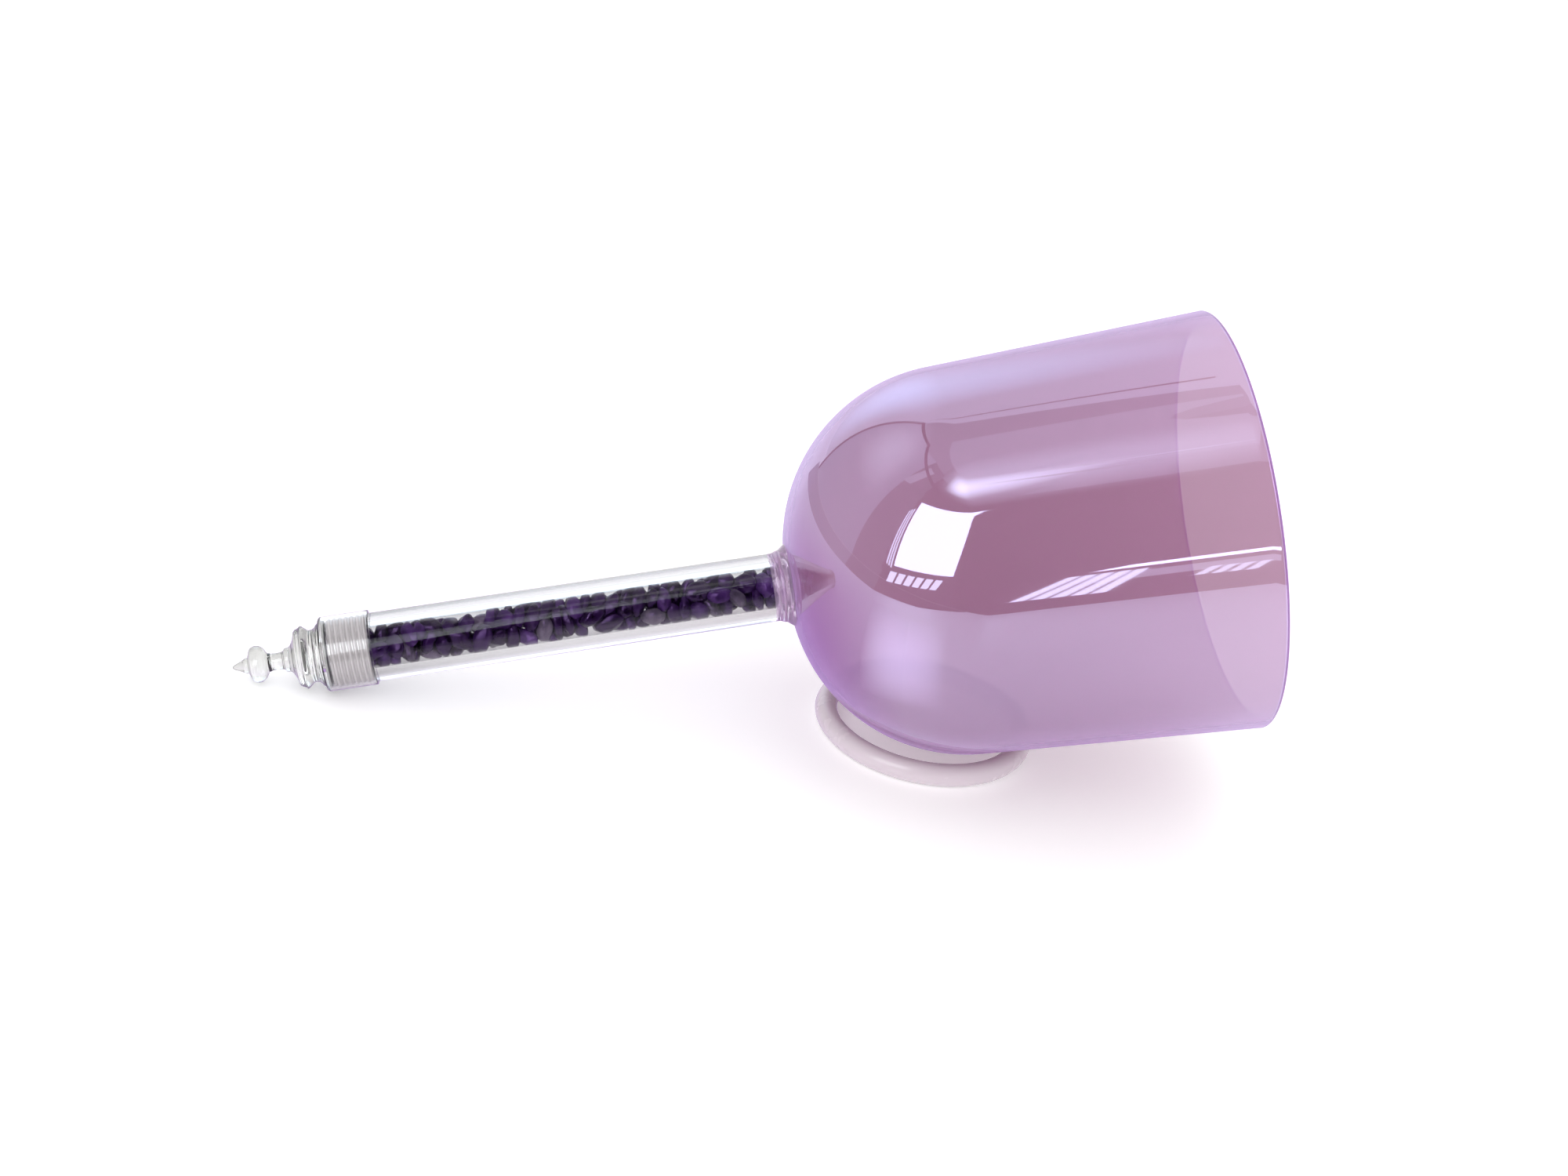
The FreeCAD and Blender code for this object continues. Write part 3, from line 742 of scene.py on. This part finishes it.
def glow(name, strength, colour=(1, 1, 1), soft=False):
    """Light that reaches mirrors and glass, but does not light matt surfaces."""
    material = bpy.data.materials.new(name)
    material.use_nodes = True
    nodes, links = material.node_tree.nodes, material.node_tree.links
    nodes.clear()
    emission = nodes.new("ShaderNodeEmission")
    emission.inputs["Color"].default_value = (*colour, 1)
    emission.inputs["Strength"].default_value = strength
    clear = nodes.new("ShaderNodeBsdfTransparent")
    rays = nodes.new("ShaderNodeLightPath")
    mix = nodes.new("ShaderNodeMixShader")
    output = nodes.new("ShaderNodeOutputMaterial")
    links.new(rays.outputs["Diffuse Depth"], mix.inputs[0])
    links.new(emission.outputs[0], mix.inputs[1])
    links.new(clear.outputs[0], mix.inputs[2])
    links.new(mix.outputs[0], output.inputs["Surface"])
    if soft:
        fade = nodes.new("ShaderNodeAttribute")
        fade.attribute_name = "fade"
        dim = nodes.new("ShaderNodeMixShader")
        links.new(fade.outputs["Fac"], dim.inputs[0])
        links.new(clear.outputs[0], dim.inputs[1])
        links.new(emission.outputs[0], dim.inputs[2])
        links.new(dim.outputs[0], mix.inputs[1])
    return material


def panel(name, corners, material):
    mesh = bpy.data.meshes.new(name)
    mesh.from_pydata([tuple(c) for c in corners], [], [tuple(range(len(corners)))])
    mesh.materials.append(material)
    sheet = bpy.data.objects.new(name, mesh)
    bpy.context.scene.collection.objects.link(sheet)
    return sheet


STUDIO = Vector((0.10, 0.0, 0.12))      # the middle of the bowl, as the cards see it


def toward(azimuth, elevation, distance):
    """A point of the studio, by its direction from the bowl in degrees."""
    a, e = math.radians(azimuth), math.radians(elevation)
    return STUDIO + Vector((math.cos(a) * math.cos(e), math.sin(a) * math.cos(e),
                            math.sin(e))) * distance


def card(name, corners, distance, strength, colour=(1, 1, 1), steps=10, soft=False, lift=1.0):
    """A curved card seen only in reflections. Its four corners are directions.

    Without a distance it lies this many millimetres above the floor. A soft card fades out
    towards its edges.
    """
    vertices, faces = [], []
    for i in range(steps + 1):
        for k in range(steps + 1):
            u, v = i / steps, k / steps
            azimuth, elevation = [(a * (1 - u) + b * u) * (1 - v) + (d * (1 - u) + c * u) * v
                                  for a, b, c, d in zip(*corners)]
            reach = distance or (STUDIO.z - lift * MM) / math.sin(math.radians(-elevation))
            vertices.append(tuple(toward(azimuth, elevation, reach)))
    for i in range(steps):
        for k in range(steps):
            corner = i * (steps + 1) + k
            faces.append((corner, corner + 1, corner + steps + 2, corner + steps + 1))
    mesh = bpy.data.meshes.new(name)
    mesh.from_pydata(vertices, [], faces)
    if soft:
        fade = mesh.attributes.new("fade", "FLOAT", "POINT")
        for index, point in enumerate(fade.data):
            u, v = divmod(index, steps + 1)
            point.value = math.sin(math.pi * u / steps) * math.sin(math.pi * v / steps)
    mesh.materials.append(glow(name, strength, colour, soft))
    piece = bpy.data.objects.new(name, mesh)
    bpy.context.scene.collection.objects.link(piece)
    piece.visible_camera = False
    piece.visible_diffuse = False
    piece.visible_shadow = False
    piece.visible_transmission = distance is not None
    piece.visible_volume_scatter = False


def block(west, east, low, high):
    """The four corners of a plain stretch of directions."""
    return (west, low), (east, low), (east, high), (west, high)


def slats(name, count, first, last, distance, strength, gap=0.35):
    """Bright slats with dark gaps, spread evenly from the first edge to the last."""
    for i in range(count):
        edges = []
        for share in (i / count, (i + 1 - gap) / count):
            edges.append([tuple(a + (b - a) * share for a, b in zip(p, q))
                          for p, q in zip(first, last)])
        (low_west, high_west), (low_east, high_east) = edges
        card("%s_%d" % (name, i), (low_west, low_east, high_east, high_west), distance, strength,
             steps=4)


def build_room():
    """The room round the table, as the polished quartz mirrors it.

    Directions are in degrees, round from +X to +Y and up. Nearer cards hide farther ones.
    """
    card("wall_left", ((125, -12), (182, -12), (182, 62), (128.5, 53)), 1.60, 0.7, (0.92, 0.96, 1))
    card("wall_front", block(182, 204, -12, 62), 1.60, 0.24)
    card("wall_window", block(203, 250, -9, 60), 1.60, 0.06, (1, 0.85, 0.85))
    card("wall_right", ((249, -5), (292, -5), (292, 57), (249, 57)), 1.60, 0.03, (1, 0.8, 0.8))
    card("backdrop_edge", ((123.6, -15), (125, -15), (131, 51), (129.6, 51)), 1.58, 0.05)
    card("backdrop_top", ((128, 52), (129.5, 51), (100, 70), (99, 69)), 1.58, 0.05)
    card("post_left", ((129, 50), (156, 58.4), (156, 60), (129, 52)), 1.50, 0.02)
    card("post_right", ((156, 58.4), (214, 51), (214, 53), (156, 60)), 1.50, 0.02)
    card("ceiling_left", ((129, 53), (200, 60), (200, 89.9), (95, 89.9)), 1.62, 0.5)
    card("ceiling_right", block(200, 300, 56, 89.9), 1.63, 0.4)
    card("ceiling_sheet", ((150, 71), (268, 66), (290, 82), (120, 84)), 1.55, 0.8)
    card("skylight", ((206, 53), (268, 54), (278, 80), (196, 82)), 1.52, 1.5, steps=20, soft=True)
    card("skylight_core", ((214, 55), (246, 57), (250, 70), (212, 68)), 1.51, 4.6, steps=20,
         soft=True)
    card("skylight_edge", block(236, 266, 67.6, 69.2), 1.50, 1.6, steps=20, soft=True)
    card("skylight_rail", block(238, 266, 64.6, 65.6), 1.50, 1.2, steps=20, soft=True)
    card("left_glow", block(128, 178, 20, 60), 1.58, 1.3, steps=20, soft=True)
    card("left_bounce", block(84, 124, -4, 50), 1.59, 2.4, (0.78, 0.9, 1), steps=20, soft=True)
    card("floor_shade", block(115, 228, -78, -6), None, 0.75, (0.7, 0.4, 1), steps=20, soft=True)
    card("floor_glow", block(206, 248, -52, -17), None, 2.6, (1, 0.92, 1), steps=20, soft=True,
         lift=2.0)
    card("table_end_left", ((122, -11), (182, -11.3), (182, -4.4), (122, -4.4)), None, 0.55,
         (0.92, 0.96, 1), lift=3.0)
    card("table_end_front", ((182, -11.3), (204, -12.6), (204, -4.4), (182, -4.4)), None, 0.24,
         lift=3.0)
    card("table_end_window", ((204, -12.6), (230, -10.3), (230, -4.4), (204, -4.4)), None, 0.06,
         (1, 0.85, 0.85), lift=3.0)
    card("table_end_corner", ((230, -10.3), (258, -4.8), (258, -4.4), (230, -4.4)), None, 0.06,
         (1, 0.85, 0.85), lift=3.0)
    card("bright_streak", ((181, 42), (188, 44), (194, 58), (186, 58)), 1.56, 0.8)
    card("window", ((210.5, 5), (247, 13), (252, 51.5), (206.5, 42)), 1.52, 5.2, (0.93, 0.98, 1))
    slats("shutter", 3, ((205.2, 4), (202.8, 34)), ((210, 3), (206.2, 38)), 1.52, 3.0)
    slats("low_pane", 6, ((208.5, -4.5), (209.5, 1.5)), ((240, 3), (243, 9.5)), 1.52, 3.5, gap=0.25)
    card("far_strip", ((270.8, 12.2), (284, 12.6), (284, 14.4), (272, 13.6)), 1.52, 6.0)
    card("far_glow", ((272, 6.5), (284, 7.5), (284, 10.5), (271.4, 10.2)), 1.53, 0.9)
    slats("far_pane", 5, ((270.9, 1.5), (270.4, 11)), ((274.6, 1), (273.4, 11)), 1.52, 4.0,
          gap=0.25)
    slats("small_pane", 4, ((276.5, 4.5), (276.2, 8)), ((279, 4), (278.6, 7.6)), 1.52, 3.0)


def build_stage():
    half = 6.0
    floor = panel("floor", [(-half, -half, 0), (half, -half, 0), (half, half, 0), (-half, half, 0)],
                  plain("floor_white", (0.94, 0.94, 0.94), 0.35, 0.22))
    floor.location.z = -0.0002
    world = bpy.data.worlds.new("studio")
    bpy.context.scene.world = world
    world.use_nodes = True
    world.node_tree.nodes["Background"].inputs["Color"].default_value = (1, 1, 1, 1)
    world.node_tree.nodes["Background"].inputs["Strength"].default_value = 1.10


def build_lights():
    key = bpy.data.lights.new("key", "AREA")
    key.shape = "RECTANGLE"
    key.size, key.size_y = 0.9, 0.9
    key.energy = 4.0
    lamp = bpy.data.objects.new("key", key)
    bpy.context.scene.collection.objects.link(lamp)
    lamp.location = toward(-130, 42, 1.5)
    lamp.rotation_euler = (STUDIO - lamp.location).to_track_quat("-Z", "Y").to_euler()
    lamp.visible_glossy = False
    lamp.visible_transmission = False


def set_colours():
    """Plain colours, and no stray sparks from light that mirrors throw about."""
    scene = bpy.context.scene
    scene.cycles.caustics_reflective = False
    scene.view_settings.view_transform = "Standard"


def build_camera():
    """The view from the front left, a little above, with the handle's end nearest."""
    azimuth, elevation, roll = math.radians(13.37), math.radians(27.22), math.radians(11.13)
    distance, lens = 1.2152, 66.77
    target = Vector((BASE.x - 0.0008, 0, 0.0641))
    back = Vector((-math.sin(azimuth) * math.cos(elevation),
                   -math.cos(azimuth) * math.cos(elevation), math.sin(elevation)))
    level = Vector((math.cos(azimuth), -math.sin(azimuth), 0))
    upright = back.cross(level)
    right = level * math.cos(roll) + upright * math.sin(roll)
    up = upright * math.cos(roll) - level * math.sin(roll)
    data = bpy.data.cameras.new("camera")
    data.lens = lens
    camera = bpy.data.objects.new("camera", data)
    bpy.context.scene.collection.objects.link(camera)
    turn = Matrix((right, up, back)).transposed().to_4x4()
    camera.matrix_world = Matrix.Translation(target + back * distance) @ turn
    bpy.context.scene.camera = camera


# ---------------------------------------------------------------- build
build_camera()
build_bowl()
build_foot()
build_tube()
build_sleeve()
build_collar()
build_seal()
build_finial()
build_ring()
for cad_name in sorted(frame["nodes"]):
    if cad_name.startswith("chips_"):
        grade = cad_name.split("_")[1]
        tumble(cad_name.replace("chips", "stones"), cad_name, AMETHYST[grade])
build_stage()
build_room()
build_lights()
set_colours()
